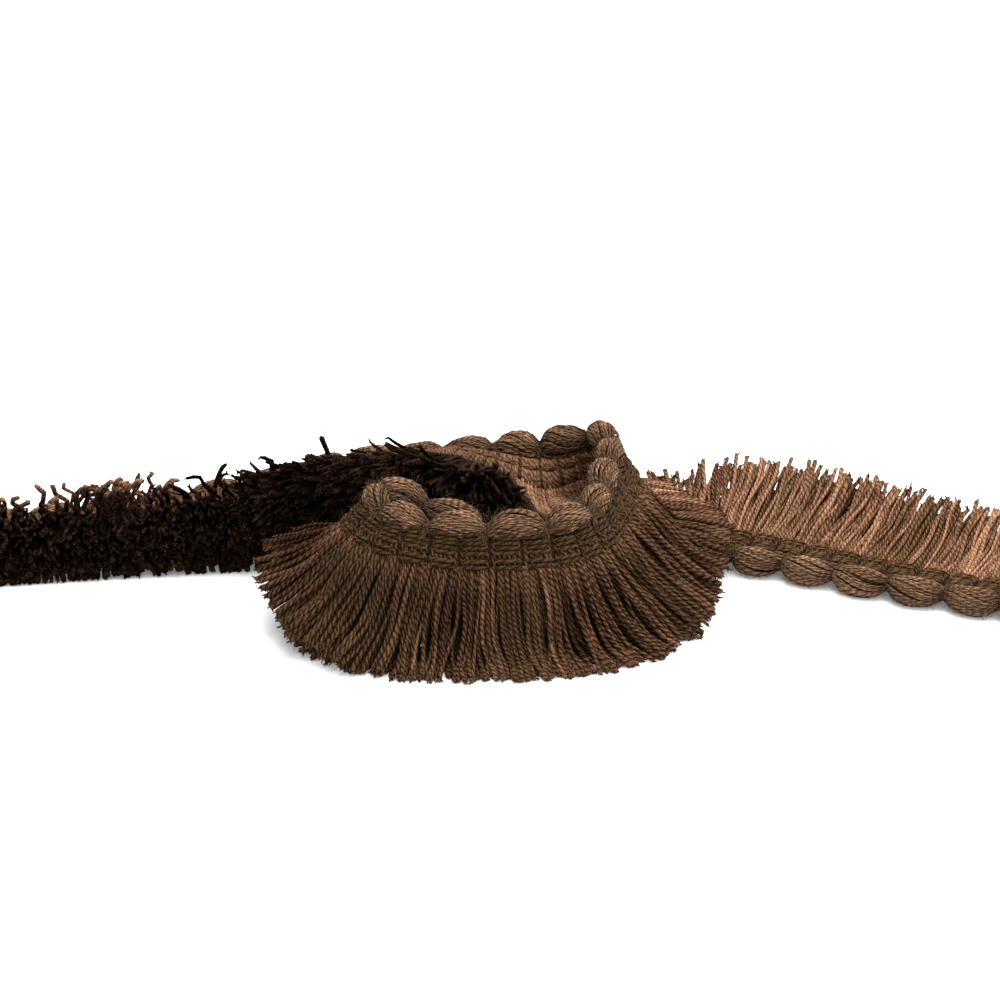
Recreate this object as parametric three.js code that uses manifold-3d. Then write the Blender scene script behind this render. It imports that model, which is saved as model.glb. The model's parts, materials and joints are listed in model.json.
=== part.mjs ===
// Brush fringe trim, a cut length lying on a table in one loose loop.
//
// The trim has three made pieces. A woven heading band carries a puffed edging
// cord along its upper edge and a thick cut brush of plied yarn along its lower
// edge. The length comes in from the right with its brush pointing back, passes
// under the loop, turns at the left, stands on its brush round the front and the
// right, turns again at the back and twists down to lie flat out to the left with
// the cut ends of the brush facing forward.
//
// Millimetres, +Z up. The origin is under the middle of the trim, on the table.

import * as THREE from "three";
import { mergeVertices } from "three/addons/utils/BufferGeometryUtils.js";
import Module from "manifold-3d";

// Driving sizes of the trim
const PUFF_PITCH = 10.1;
const PUFF_DEPTH = 4;
const CORD_RADIUS = 2.7;
const TIE_RADIUS = 1.0;
const CORD_ARCH = 0.5;
const BAND_TOP = 3.1;
const BAND_HEIGHT = 5.5;
const BAND_HALF_THICKNESS = 1.1;
const BAND_GROOVE = 0.35;
const SEAM = 0.3;
const STRIP_HEIGHT = 1.3;
const STRIP_HALF_THICKNESS = 1.15;
const BRUSH_LENGTH = 20.5;
const TOUCH = 0.35;
const BAND_BOTTOM = BAND_TOP + BAND_HEIGHT;
const STRIP_TOP = BAND_BOTTOM + SEAM;
const ROOT_DEPTH = STRIP_TOP + 0.7;

// Locks of the brush: layers through its thickness, and how each one swells
const LOCK_PITCH = 5.5;
const ALL_LAYERS = [-1, 0, 1];
const MIDDLE_LAYER = [0];
const LOCK_STEPS = 3;
const LOCK_FILL = 0.58;
const LOCK_MAX_WIDTH = 6.2;
const LOCK_GAP = 0.35;
const LAYER_SPACING = 0.75;
const ROOT_SHARE = 0.35;
const TIP_SHARE = 1.25;

// Moves the table below so that the origin is under the middle of the trim
const SHIFT_X = -4.1;
const SHIFT_Y = 11.29;

// How the trim lies, a row for each bend, from the right end to the left end.
// x, y, z: centre of the edging cord. lean: turn of the brush from straight down
// towards the right-hand side of the way along, in degrees. fan: half the angle
// through which the brush spreads, in degrees. rest: height of what its tips lie on.
// thick: thickness of a lock at its tip.
const LAY = [
  { x: 94.0, y: -28.6, z: 2.5, lean: 95, fan: 14, rest: 0, thick: 3.2 },
  { x: 82.6, y: -22.2, z: 2.5, lean: 95, fan: 14, rest: 0, thick: 3.2 },
  { x: 65.6, y: -13.0, z: 2.5, lean: 96, fan: 16, rest: 0, thick: 3.4 },
  { x: 48.3, y: -2.5, z: 2.5, lean: 101, fan: 18, rest: 0, thick: 3.4 },
  { x: 39.0, y: 1.6, z: 2.5, lean: 103, fan: 14, rest: 0, thick: 2.6 },
  { x: 30.0, y: 2.0, z: 2.6, lean: 94, fan: 8, rest: 0, thick: 1.8 },
  { x: 21.0, y: -3.0, z: 4.0, lean: 84, fan: 8, rest: 0, thick: 1.8 },
  { x: 12.5, y: -10.5, z: 7.5, lean: 72, fan: 8, rest: 0, thick: 1.8 },
  { x: 4.5, y: -17.5, z: 12.2, lean: 38, fan: 8, rest: 0, thick: 1.6 },
  { x: -2.6, y: -23.2, z: 17.0, lean: 16, fan: 8, rest: 0, thick: 1.8 },
  { x: -9.2, y: -25.2, z: 20.5, lean: 12, fan: 8, rest: 0, thick: 1.8 },
  { x: -15.0, y: -22.2, z: 22.5, lean: 20, fan: 12, rest: 4, thick: 1.8 },
  { x: -20.4, y: -23.0, z: 22.6, lean: 44, fan: 16, rest: 0, thick: 2.0 },
  { x: -16.6, y: -30.4, z: 22.2, lean: 38, fan: 19, rest: 0, thick: 2.0 },
  { x: -8.1, y: -33.2, z: 21.5, lean: 26, fan: 22, rest: 0, thick: 2.0 },
  { x: 0.8, y: -33.4, z: 21.5, lean: 24, fan: 22, rest: 0, thick: 2.0 },
  { x: 10.0, y: -30.8, z: 21.5, lean: 26, fan: 22, rest: 0, thick: 2.0 },
  { x: 15.4, y: -23.0, z: 22.0, lean: 32, fan: 20, rest: 0, thick: 2.0 },
  { x: 18.3, y: -8.8, z: 23.4, lean: 34, fan: 16, rest: 0, thick: 2.0 },
  { x: 19.5, y: 0.2, z: 24.0, lean: 34, fan: 12, rest: 7, thick: 1.8 },
  { x: 17.4, y: 7.9, z: 24.3, lean: 30, fan: 10, rest: 8, thick: 1.8 },
  { x: 11.0, y: 10.8, z: 22.4, lean: 14, fan: 10, rest: 9, thick: 1.8 },
  { x: 2.6, y: 12.5, z: 20.7, lean: -58, fan: 10, rest: 9, thick: 1.6 },
  { x: -6.3, y: 15.5, z: 18.7, lean: -95, fan: 13, rest: 9, thick: 2.0 },
  { x: -15.3, y: 19.0, z: 16.5, lean: -98, fan: 18, rest: 6, thick: 3.4 },
  { x: -26.2, y: 23.5, z: 14.3, lean: -94, fan: 30, rest: 4, thick: 4.4 },
  { x: -37.6, y: 27.5, z: 10.5, lean: -91, fan: 34, rest: 0, thick: 5.0 },
  { x: -47.6, y: 28.6, z: 7.6, lean: -93, fan: 30, rest: 0, thick: 4.8 },
  { x: -68.3, y: 26.2, z: 4.4, lean: -98, fan: 23, rest: 0, thick: 4.4 },
  { x: -89.1, y: 22.3, z: 3.0, lean: -100, fan: 24, rest: 0, thick: 4.4 },
  { x: -99.0, y: 20.4, z: 2.6, lean: -100, fan: 24, rest: 0, thick: 4.4 },
];

// Stretches of the brush, each from one row of the table to another. The hidden bend, where the
// brush is on the inside, has room for one layer only.
const STRETCHES = [
  { name: "brush_right_end", from: 0, to: 2, layers: ALL_LAYERS },
  { name: "brush_right", from: 2, to: 4, layers: ALL_LAYERS },
  { name: "brush_under_loop", from: 4, to: 8, layers: ALL_LAYERS },
  { name: "brush_rising", from: 8, to: 11, layers: MIDDLE_LAYER },
  { name: "brush_left_turn", from: 11, to: 13, layers: ALL_LAYERS },
  { name: "brush_front", from: 13, to: 16, layers: ALL_LAYERS },
  { name: "brush_right_turn", from: 16, to: 19, layers: ALL_LAYERS },
  { name: "brush_back_turn", from: 19, to: 21, layers: ALL_LAYERS },
  { name: "brush_back", from: 21, to: 22.4, layers: ALL_LAYERS },
  { name: "brush_twist", from: 22.4, to: 25, layers: ALL_LAYERS },
  { name: "brush_left", from: 25, to: 27, layers: ALL_LAYERS },
  { name: "brush_left_end", from: 27, to: 30, layers: ALL_LAYERS },
];

const UP = new THREE.Vector3(0, 0, 1);
const wasm = await Module();
wasm.setup();

const row_points = LAY.map((r) => new THREE.Vector3(r.x + SHIFT_X, r.y + SHIFT_Y, r.z));
const row_turns = LAY.map((r) => new THREE.Vector3(r.lean, r.fan, 0));
const row_rests = LAY.map((r) => new THREE.Vector3(r.rest, r.thick, 0));
const path = new THREE.CatmullRomCurve3(row_points, false, "catmullrom", 0.5);
const turns = new THREE.CatmullRomCurve3(row_turns, false, "catmullrom", 0.5);
const rests = new THREE.CatmullRomCurve3(row_rests, false, "catmullrom", 0.5);
const ROWS = LAY.length - 1;
const BAND_STEP = 5.2;

// The trim's own axes at one place: along it, across it towards the brush, and out of its face
function frameAt(row) {
  const t = THREE.MathUtils.clamp(row / ROWS, 0, 1);
  const at = path.getPoint(t);
  const along = path.getTangent(t);
  const side = new THREE.Vector3().crossVectors(along, UP).normalize();
  const rise = new THREE.Vector3().crossVectors(side, along);
  const turn = turns.getPoint(t);
  const under = rests.getPoint(t);
  const lean = THREE.MathUtils.degToRad(turn.x);
  const across = rise.clone().multiplyScalar(-Math.cos(lean)).addScaledVector(side, Math.sin(lean));
  const face = side.clone().multiplyScalar(Math.cos(lean)).addScaledVector(rise, Math.sin(lean));
  const fan = THREE.MathUtils.degToRad(turn.y);
  return { at, along, side, across, face, lean: turn.x, fan, rest: Math.max(under.x, 0), thick: under.y };
}

// A point set level on the table where it would touch it
function grounded(point) {
  return point.z < TOUCH ? point.setZ(0) : point;
}

// A point of the trim from its depth across and its height off the face
function place(frame, depth, out) {
  return grounded(frame.at.clone().addScaledVector(frame.across, depth).addScaledVector(frame.face, out));
}

// Rows at equal steps of the length, measured where the brush is rooted unless told otherwise
function evenRows(from, to, step, depth = ROOT_DEPTH) {
  const fine = 400;
  const rows = [];
  const lengths = [0];
  for (let i = 0; i <= fine; i++) {
    rows.push(from + ((to - from) * i) / fine);
    if (i > 0) {
      const here = place(frameAt(rows[i]), depth, 0);
      lengths.push(lengths[i - 1] + here.distanceTo(place(frameAt(rows[i - 1]), depth, 0)));
    }
  }
  const count = Math.max(1, Math.round(lengths[fine] / step));
  const even = [];
  let i = 0;
  for (let k = 0; k <= count; k++) {
    const wanted = (lengths[fine] * k) / count;
    while (i < fine - 1 && lengths[i + 1] < wanted) i++;
    const share = (wanted - lengths[i]) / (lengths[i + 1] - lengths[i] || 1);
    even.push(rows[i] + (rows[i + 1] - rows[i]) * THREE.MathUtils.clamp(share, 0, 1));
  }
  return even;
}

// The band's own even rows from one place to another, so that all that is sewn to it bends with it
function bandRows(from, to) {
  const inside = evenRows(0, ROWS, BAND_STEP).filter((row) => row > from + 0.05 && row < to - 0.05);
  return [from, ...inside, to];
}

// A closed skin over equal rings of points
function skin(rings) {
  const sides = rings[0].length;
  const position = rings.flat().flatMap((p) => [p.x, p.y, p.z]);
  const index = [];
  for (let r = 0; r + 1 < rings.length; r++) {
    for (let s = 0; s < sides; s++) {
      const a = r * sides + s;
      const b = r * sides + ((s + 1) % sides);
      index.push(a, b, b + sides, a, b + sides, a + sides);
    }
  }
  const outline = rings[0].map((_, s) => s);
  for (const [first, turned] of [[0, true], [(rings.length - 1) * sides, false]]) {
    const ring = rings[first / sides];
    const flat = flatten(ring);
    for (const [a, b, c] of THREE.ShapeUtils.triangulateShape(flat, [])) {
      const tri = [outline[a] + first, outline[b] + first, outline[c] + first];
      index.push(...(turned ? tri.reverse() : tri));
    }
  }
  const geometry = new THREE.BufferGeometry();
  geometry.setAttribute("position", new THREE.Float32BufferAttribute(position, 3));
  geometry.setIndex(index);
  return geometry;
}

// A ring of points as a flat outline, turning the same way as the ring does
function flatten(ring) {
  const middle = ring.reduce((sum, p) => sum.add(p), new THREE.Vector3()).divideScalar(ring.length);
  const normal = new THREE.Vector3();
  ring.forEach((p, i) => {
    const next = ring[(i + 1) % ring.length];
    normal.add(p.clone().sub(middle).cross(next.clone().sub(middle)));
  });
  normal.normalize();
  const u = ring[0].clone().sub(middle).normalize();
  const v = normal.clone().cross(u);
  return ring.map((p) => new THREE.Vector2(p.clone().sub(middle).dot(u), p.clone().sub(middle).dot(v)));
}

// A geometry as a solid for joining, facing out
function solid(geometry) {
  const merged = mergeVertices(geometry, 1e-4);
  const mesh = new wasm.Mesh({
    numProp: 3,
    vertProperties: new Float32Array(merged.attributes.position.array),
    triVerts: new Uint32Array(merged.index.array),
  });
  return new wasm.Manifold(mesh);
}

// A solid as a geometry again
function geometryOf(made) {
  const mesh = made.getMesh();
  const stride = mesh.numProp;
  const position = new Float32Array(mesh.numVert * 3);
  for (let i = 0; i < mesh.numVert; i++) {
    position.set(mesh.vertProperties.subarray(i * stride, i * stride + 3), i * 3);
  }
  const geometry = new THREE.BufferGeometry();
  geometry.setAttribute("position", new THREE.BufferAttribute(position, 3));
  geometry.setIndex(new THREE.BufferAttribute(new Uint32Array(mesh.triVerts), 1));
  return geometry;
}

// The woven band: a wide and a narrow raised cord of warp on each face, and sunk weft between
function headingBand() {
  const full = BAND_HALF_THICKNESS;
  const sunk = BAND_HALF_THICKNESS - BAND_GROOVE;
  const profile = [[0, full], [0.52, full], [0.66, sunk], [0.8, full], [1, full]];
  const rings = bandRows(0, ROWS).map((row) => {
    const frame = frameAt(row);
    const front = profile.map(([share, out]) => place(frame, BAND_TOP + share * BAND_HEIGHT, out));
    const back = profile.map(([share, out]) => place(frame, BAND_TOP + share * BAND_HEIGHT, -out));
    return front.concat(back.reverse());
  });
  return skin(rings);
}

// The edging cord: thin where it is tied to the band, puffed between
function edgingCord() {
  const swell = [
    { phase: 0, radius: TIE_RADIUS, arch: -1 },
    { phase: 0.3, radius: CORD_RADIUS, arch: 0 },
    { phase: 0.7, radius: CORD_RADIUS, arch: 0 },
  ];
  const sides = 8;
  const ties = evenRows(0, ROWS, PUFF_PITCH, PUFF_DEPTH);
  const rings = [];
  const ringAt = (row, radius, arch) => {
    const frame = frameAt(row);
    const ring = [];
    for (let s = 0; s < sides; s++) {
      const angle = (2 * Math.PI * (s + 0.5)) / sides;
      ring.push(place(frame, radius * Math.sin(angle) - CORD_ARCH * arch, radius * Math.cos(angle)));
    }
    return ring;
  };
  for (let i = 0; i + 1 < ties.length; i++) {
    for (const { phase, radius, arch } of swell) {
      rings.push(ringAt(ties[i] + (ties[i + 1] - ties[i]) * phase, radius, arch));
    }
  }
  rings.push(ringAt(ties[ties.length - 1], TIE_RADIUS, -1));
  return skin(rings);
}

// Thickness of a lock at a share of its length, always less than the layers' spacing
function lockThickness(frame, share) {
  const swing = share * (ROOT_SHARE + ((TIP_SHARE - ROOT_SHARE) * share) / 2);
  const spacing = LAYER_SPACING + BRUSH_LENGTH * Math.sin(frame.fan) * swing;
  return Math.min(spacing - LOCK_GAP, frame.thick);
}

// Width of a lock at a share of its length, from the room between its two neighbours there
function lockWidth(frame, before, after, share) {
  const depth = ROOT_DEPTH + (BRUSH_LENGTH - ROOT_DEPTH + BAND_BOTTOM) * share;
  const room = Math.abs(place(after, depth, 0).sub(place(before, depth, 0)).dot(frame.along));
  return THREE.MathUtils.clamp(LOCK_FILL * room, 1.4, LOCK_MAX_WIDTH);
}

// The centre line of one lock: out of the strip, spreading, and then level on what it lies on.
// order counts the layers from the lowest.
function lockLine(frame, layer, order) {
  const points = [place(frame, ROOT_DEPTH, layer * LAYER_SPACING)];
  const step = (BRUSH_LENGTH - (ROOT_DEPTH - BAND_BOTTOM)) / LOCK_STEPS;
  for (let i = 0; i < LOCK_STEPS; i++) {
    const share = ROOT_SHARE + ((TIP_SHARE - ROOT_SHARE) * (i + 0.5)) / LOCK_STEPS;
    const turn = layer * frame.fan * share;
    const heading = frame.across.clone().multiplyScalar(Math.cos(turn));
    heading.addScaledVector(frame.face, Math.sin(turn));
    const from = points[i];
    const next = from.clone().addScaledVector(heading, step);
    const thickness = lockThickness(frame, (i + 1) / LOCK_STEPS);
    const low = frame.rest + order * (thickness + LOCK_GAP) + thickness / 2;
    if (next.z < low) {
      const drop = THREE.MathUtils.clamp(from.z - low, -step * 0.6, step * 0.97);
      const level = frame.side.clone().multiplyScalar(Math.sign(frame.lean));
      next.copy(from).addScaledVector(level, Math.sqrt(step * step - drop * drop));
      next.z = from.z - drop;
    }
    points.push(next);
  }
  return points;
}

// The rings of one lock, four-sided, its cut end square
function lockRings(before_row, after_row, layer, order) {
  const frame = frameAt((before_row + after_row) / 2);
  const neighbours = [frameAt(before_row), frameAt(after_row)];
  const points = lockLine(frame, layer, order);
  return points.map((point, i) => {
    const share = i / LOCK_STEPS;
    const before = points[Math.max(i - 1, 0)];
    const after = points[Math.min(i + 1, LOCK_STEPS)];
    const heading = after.clone().sub(before).normalize();
    const wide = frame.along.clone().addScaledVector(heading, -frame.along.dot(heading)).normalize();
    const thick = new THREE.Vector3().crossVectors(heading, wide).normalize();
    const w = lockWidth(frame, ...neighbours, share) / 2;
    const h = lockThickness(frame, share) / 2;
    const corners = [[-1, -1], [1, -1], [1, 1], [-1, 1]];
    return corners.map(([a, b]) => {
      return grounded(point.clone().addScaledVector(wide, a * w).addScaledVector(thick, b * h));
    });
  });
}

// A stretch of the brush: a narrow strip under the band with its locks rooted in it
function brush({ from, to, layers }) {
  const gap = 0.04;
  const section = [
    [STRIP_TOP, -STRIP_HALF_THICKNESS], [STRIP_TOP, STRIP_HALF_THICKNESS],
    [STRIP_TOP + STRIP_HEIGHT, STRIP_HALF_THICKNESS], [STRIP_TOP + STRIP_HEIGHT, -STRIP_HALF_THICKNESS],
  ];
  const rings = bandRows(from + gap, to - gap).map((row) => {
    const frame = frameAt(row);
    return section.map(([depth, out]) => place(frame, depth, out));
  });
  let made = solid(skin(rings));
  const rows = evenRows(from, to, LOCK_PITCH);
  for (let i = 0; i + 1 < rows.length; i++) {
    const upwards = frameAt((rows[i] + rows[i + 1]) / 2).lean < 0 ? -1 : 1;
    layers.forEach((layer, order) => {
      made = made.add(solid(skin(lockRings(rows[i], rows[i + 1], layer * upwards, order))));
    });
  }
  return geometryOf(made);
}

const YARN = new THREE.MeshStandardMaterial({ color: 0x6b4836, roughness: 0.95, metalness: 0 });
const WARP = new THREE.MeshStandardMaterial({ color: 0x54402a, roughness: 0.95, metalness: 0 });
const CORD = new THREE.MeshStandardMaterial({ color: 0x7a5a44, roughness: 0.95, metalness: 0 });

function piece(name, geometry, material) {
  const mesh = new THREE.Mesh(geometry, material);
  mesh.name = name;
  return mesh;
}

const trim = new THREE.Group();
trim.name = "brush_fringe_trim";
trim.add(piece("heading_band", headingBand(), WARP));
trim.add(piece("edging_cord", edgingCord(), CORD));
for (const stretch of STRETCHES) {
  trim.add(piece(stretch.name, brush(stretch), YARN));
}

export default trim;
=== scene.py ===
"""Brush fringe trim, a cut length lying in one loose loop on a pale table.

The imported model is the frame. Each of its plain solids is replaced by the yarns that
a maker would see there: the woven heading, the puffed edging and the thick cut brush.
All lengths are in metres in the row's frame, and the tables are in millimetres.
"""

import json
import logging
import math
from dataclasses import dataclass, field
from enum import Enum
from typing import Sequence

import bpy
import numpy as np
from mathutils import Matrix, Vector

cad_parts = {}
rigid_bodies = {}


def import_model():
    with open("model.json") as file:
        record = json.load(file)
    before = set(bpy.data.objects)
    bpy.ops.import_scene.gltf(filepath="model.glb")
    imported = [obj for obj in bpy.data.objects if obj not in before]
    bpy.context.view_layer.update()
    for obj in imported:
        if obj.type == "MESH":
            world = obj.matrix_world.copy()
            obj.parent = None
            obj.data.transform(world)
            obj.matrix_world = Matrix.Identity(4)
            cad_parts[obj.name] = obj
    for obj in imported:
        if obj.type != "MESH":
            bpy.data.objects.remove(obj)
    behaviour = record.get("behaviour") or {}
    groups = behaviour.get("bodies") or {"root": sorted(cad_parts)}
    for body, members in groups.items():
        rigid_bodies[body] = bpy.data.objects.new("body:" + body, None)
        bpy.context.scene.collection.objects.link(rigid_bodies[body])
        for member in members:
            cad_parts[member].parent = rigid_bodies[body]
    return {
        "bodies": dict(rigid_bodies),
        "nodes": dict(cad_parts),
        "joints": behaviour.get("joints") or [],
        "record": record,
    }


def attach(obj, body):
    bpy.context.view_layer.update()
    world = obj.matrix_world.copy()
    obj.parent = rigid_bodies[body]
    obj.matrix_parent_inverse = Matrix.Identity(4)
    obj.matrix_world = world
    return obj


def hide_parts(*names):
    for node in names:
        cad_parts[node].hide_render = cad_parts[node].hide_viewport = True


log = logging.getLogger("brush_fringe_trim")

MM = 0.001
SEED = 4814
UP = np.array([0.0, 0.0, 1.0])

Numbers = np.ndarray | float
Rng = np.random.Generator
Socket = bpy.types.NodeSocket


# Driving sizes of the trim in millimetres, the same as in the solids
@dataclass(frozen=True)
class TrimSizes:
    """Sizes across the trim, measured from the middle of its edging."""

    puff_pitch: float = 10.1
    puff_depth: float = 4.0
    band_top: float = 3.1
    band_height: float = 5.5
    brush_length: float = 20.5
    root_depth: float = 9.6
    layer_spacing: float = 0.75
    root_share: float = 0.35
    tip_share: float = 1.25
    lock_gap: float = 0.35
    shift_x: float = -4.1
    shift_y: float = 11.29

    @property
    def band_bottom(self) -> float:
        """Depth of the band's lower edge."""
        return self.band_top + self.band_height


# How the trim lies: x, y, z of the edging, lean and fan of the brush in degrees,
# height of what the tips rest on, and thickness of a lock at its tip
LAY_ROWS: tuple[tuple[float, ...], ...] = (
    (94.0, -28.6, 2.5, 95, 14, 0, 3.2),
    (82.6, -22.2, 2.5, 95, 14, 0, 3.2),
    (65.6, -13.0, 2.5, 96, 16, 0, 3.4),
    (48.3, -2.5, 2.5, 101, 18, 0, 3.4),
    (39.0, 1.6, 2.5, 103, 14, 0, 2.6),
    (30.0, 2.0, 2.6, 94, 8, 0, 1.8),
    (21.0, -3.0, 4.0, 84, 8, 0, 1.8),
    (12.5, -10.5, 7.5, 72, 8, 0, 1.8),
    (4.5, -17.5, 12.2, 38, 8, 0, 1.6),
    (-2.6, -23.2, 17.0, 16, 8, 0, 1.8),
    (-9.2, -25.2, 20.5, 12, 8, 0, 1.8),
    (-15.0, -22.2, 22.5, 20, 12, 4, 1.8),
    (-20.4, -23.0, 22.6, 44, 16, 0, 2.0),
    (-16.6, -30.4, 22.2, 38, 19, 0, 2.0),
    (-8.1, -33.2, 21.5, 26, 22, 0, 2.0),
    (0.8, -33.4, 21.5, 24, 22, 0, 2.0),
    (10.0, -30.8, 21.5, 26, 22, 0, 2.0),
    (15.4, -23.0, 22.0, 32, 20, 0, 2.0),
    (18.3, -8.8, 23.4, 34, 16, 0, 2.0),
    (19.5, 0.2, 24.0, 34, 12, 7, 1.8),
    (17.4, 7.9, 24.3, 30, 10, 8, 1.8),
    (11.0, 10.8, 22.4, 14, 10, 9, 1.8),
    (2.6, 12.5, 20.7, -58, 10, 9, 1.6),
    (-6.3, 15.5, 18.7, -95, 13, 9, 2.0),
    (-15.3, 19.0, 16.5, -98, 18, 6, 3.4),
    (-26.2, 23.5, 14.3, -94, 30, 4, 4.4),
    (-37.6, 27.5, 10.5, -91, 34, 0, 5.0),
    (-47.6, 28.6, 7.6, -93, 30, 0, 4.8),
    (-68.3, 26.2, 4.4, -98, 23, 0, 4.4),
    (-89.1, 22.3, 3.0, -100, 24, 0, 4.4),
    (-99.0, 20.4, 2.6, -100, 24, 0, 4.4),
)


# How far the edging sits down in the band round the front, in millimetres, and soft windows
# over rows of the lay, as start, full, still and end: where the edging sits down, where the
# brush stands on the table, where its inner side shows over the loop, and where it turns over
SINK = 0.6
SUNKEN_ROWS = (11.5, 12.5, 17.0, 18.0)
SKIRT_ROWS = (10.5, 11.5, 18.8, 19.8)
WALL_ROWS = (18.4, 19.0, 22.0, 22.4)
TURNED_ROWS = (20.6, 20.9, 22.2, 22.5)

# Soft steps over rows: where the pile comes to lie flat, where painted shade covers its yarns, where
# that shade starts at their roots, where its curls are left brown, and where painted light makes the right
# end lighter
FLAT_PILE = (23.0, 24.5)
DARK_PILE = (21.7, 22.1)
DARK_ROOTS = (25.5, 23.8)
BROWN_CURLS = (27.4, 27.9)
LIT_END = (5.0, 4.0)


class Growth(Enum):
    """How full a stretch of the brush is, against the one that stands round the front."""

    THICK = 1.45
    SPREAD = 1.4
    FULL = 1.0
    HIDDEN = 0.75
    THIN = 0.34


@dataclass(frozen=True)
class Stretch:
    """One stretch of the brush, from one row of the lay to another."""

    node: str
    start: float
    end: float
    growth: Growth = Growth.FULL


STRETCHES: tuple[Stretch, ...] = (
    Stretch("brush_right_end", 0, 2),
    Stretch("brush_right", 2, 4),
    Stretch("brush_under_loop", 4, 8, Growth.HIDDEN),
    Stretch("brush_rising", 8, 11, Growth.THIN),
    Stretch("brush_left_turn", 11, 13, Growth.SPREAD),
    Stretch("brush_front", 13, 16),
    Stretch("brush_right_turn", 16, 19),
    Stretch("brush_back_turn", 19, 21),
    Stretch("brush_back", 21, 22.4),
    Stretch("brush_twist", 22.4, 25, Growth.THICK),
    Stretch("brush_left", 25, 27, Growth.THICK),
    Stretch("brush_left_end", 27, 30, Growth.THICK),
)


@dataclass
class Frames:
    """The trim's own axes at many places: along it, towards the brush, and out of its face."""

    at: np.ndarray
    along: np.ndarray
    side: np.ndarray
    across: np.ndarray
    face: np.ndarray
    lean: np.ndarray
    fan: np.ndarray
    rest: np.ndarray
    thick: np.ndarray

    def place(self, depth: Numbers, out: Numbers) -> np.ndarray:
        """Points from their depth across the trim and their height off its face.

        Args:
            depth: Distance from the edging towards the brush, in millimetres.
            out: Distance off the middle of the trim's thickness, in millimetres.

        Returns:
            The points in millimetres.
        """
        d, o = (np.asarray(v, float)[..., None] for v in (depth, out))
        return self.at + self.across * d + self.face * o

    def around(self, angle: np.ndarray) -> np.ndarray:
        """Directions round the trim's length, from its face at 0 towards the brush at a quarter turn."""
        return self.across * np.sin(angle)[..., None] + self.face * np.cos(angle)[..., None]


@dataclass
class Lay:
    """The way the trim lies on the table."""

    sizes: TrimSizes = field(default_factory=TrimSizes)
    rows: np.ndarray = field(init=False)
    lengths: np.ndarray = field(init=False)
    ties: np.ndarray = field(init=False)
    steps: np.ndarray = field(init=False)

    def __post_init__(self) -> None:
        """Reads the table and measures the trim along the roots of its brush."""
        self.rows = np.array(LAY_ROWS, float)
        self.rows[:, 0] += self.sizes.shift_x
        self.rows[:, 1] += self.sizes.shift_y
        self.steps = np.linspace(0, len(self.rows) - 1, 6001)
        self.lengths = self._measured(self.sizes.root_depth)
        edging = self._measured(self.sizes.puff_depth)
        puffs = round(edging[-1] / self.sizes.puff_pitch)
        self.ties = np.interp(np.linspace(0, edging[-1], puffs + 1), edging, self.lengths)

    def _measured(self, depth: float) -> np.ndarray:
        """Length of trim up to each fine step, measured at one depth across it."""
        line = self.frames(self.steps).place(depth, 0.0)
        gaps = np.linalg.norm(np.diff(line, axis=0), axis=1)
        return np.concatenate([[0.0], np.cumsum(gaps)])

    def _spline(self, row: np.ndarray) -> tuple[np.ndarray, np.ndarray]:
        """The lay's values and their slopes at rows that may lie between those of the table.

        Args:
            row: Places along the table.

        Returns:
            The seven values at each place, and their slopes.
        """
        table = self.rows
        padded = np.vstack([2 * table[0] - table[1], table, 2 * table[-1] - table[-2]])
        i = np.clip(np.floor(row).astype(int), 0, len(table) - 2)
        w = (row - i)[..., None]
        p0, p1, p2, p3 = padded[i], padded[i + 1], padded[i + 2], padded[i + 3]
        t0, t1 = (p2 - p0) / 2, (p3 - p1) / 2
        c2 = -3 * p1 + 3 * p2 - 2 * t0 - t1
        c3 = 2 * p1 - 2 * p2 + t0 + t1
        return p1 + t0 * w + c2 * w**2 + c3 * w**3, t0 + 2 * c2 * w + 3 * c3 * w**2

    def frames(self, row: np.ndarray) -> Frames:
        """The trim's axes at rows of the lay.

        Args:
            row: Places along the table, whole rows or between them.

        Returns:
            The frames at those places.
        """
        values, slopes = self._spline(np.asarray(row, float))
        along = unit(slopes[..., :3])
        side = unit(np.cross(along, UP))
        rise = np.cross(side, along)
        lean = np.radians(values[..., 3])[..., None]
        across = -np.cos(lean) * rise + np.sin(lean) * side
        face = np.cos(lean) * side + np.sin(lean) * rise
        return Frames(
            values[..., :3], along, side, across, face, values[..., 3],
            np.radians(values[..., 4]), np.maximum(values[..., 5], 0), values[..., 6],
        )

    def length_at(self, row: float) -> float:
        """Length of trim, along the roots, from its right end to a row."""
        return float(np.interp(row, self.steps, self.lengths))

    def row_at(self, length: np.ndarray) -> np.ndarray:
        """Rows at lengths of trim measured along the roots."""
        return np.interp(length, self.lengths, self.steps)

    def frames_at(self, length: np.ndarray, margin: float = 0.0) -> Frames:
        """The trim's axes at lengths along the roots, kept off both ends by a margin."""
        return self.frames(self.row_at(np.clip(length, margin, self.total - margin)))

    def sink(self, length: np.ndarray) -> np.ndarray:
        """How far the edging sits down in the band, 1 round the front of the loop and 0 elsewhere."""
        return window(*SUNKEN_ROWS, self.row_at(length))

    @property
    def total(self) -> float:
        """Whole length of the trim along the roots."""
        return float(self.lengths[-1])


def unit(v: np.ndarray) -> np.ndarray:
    """Vectors scaled to length 1."""
    return v / np.maximum(np.linalg.norm(v, axis=-1, keepdims=True), 1e-9)


def smooth(low: float, high: float, x: np.ndarray) -> np.ndarray:
    """A soft step from 0 at low to 1 at high."""
    t = np.clip((x - low) / (high - low), 0, 1)
    return t * t * (3 - 2 * t)


def window(start: float, full: float, still: float, end: float, x: np.ndarray) -> np.ndarray:
    """A soft window, 1 from full to still, 0 before start and after end."""
    return smooth(start, full, x) * smooth(end, still, x)


def near(x: np.ndarray, centre: Numbers, width: float) -> np.ndarray:
    """A soft bump, 1 at its centre and falling off to both sides."""
    return np.exp(-(((x - centre) / width) ** 2))


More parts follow.
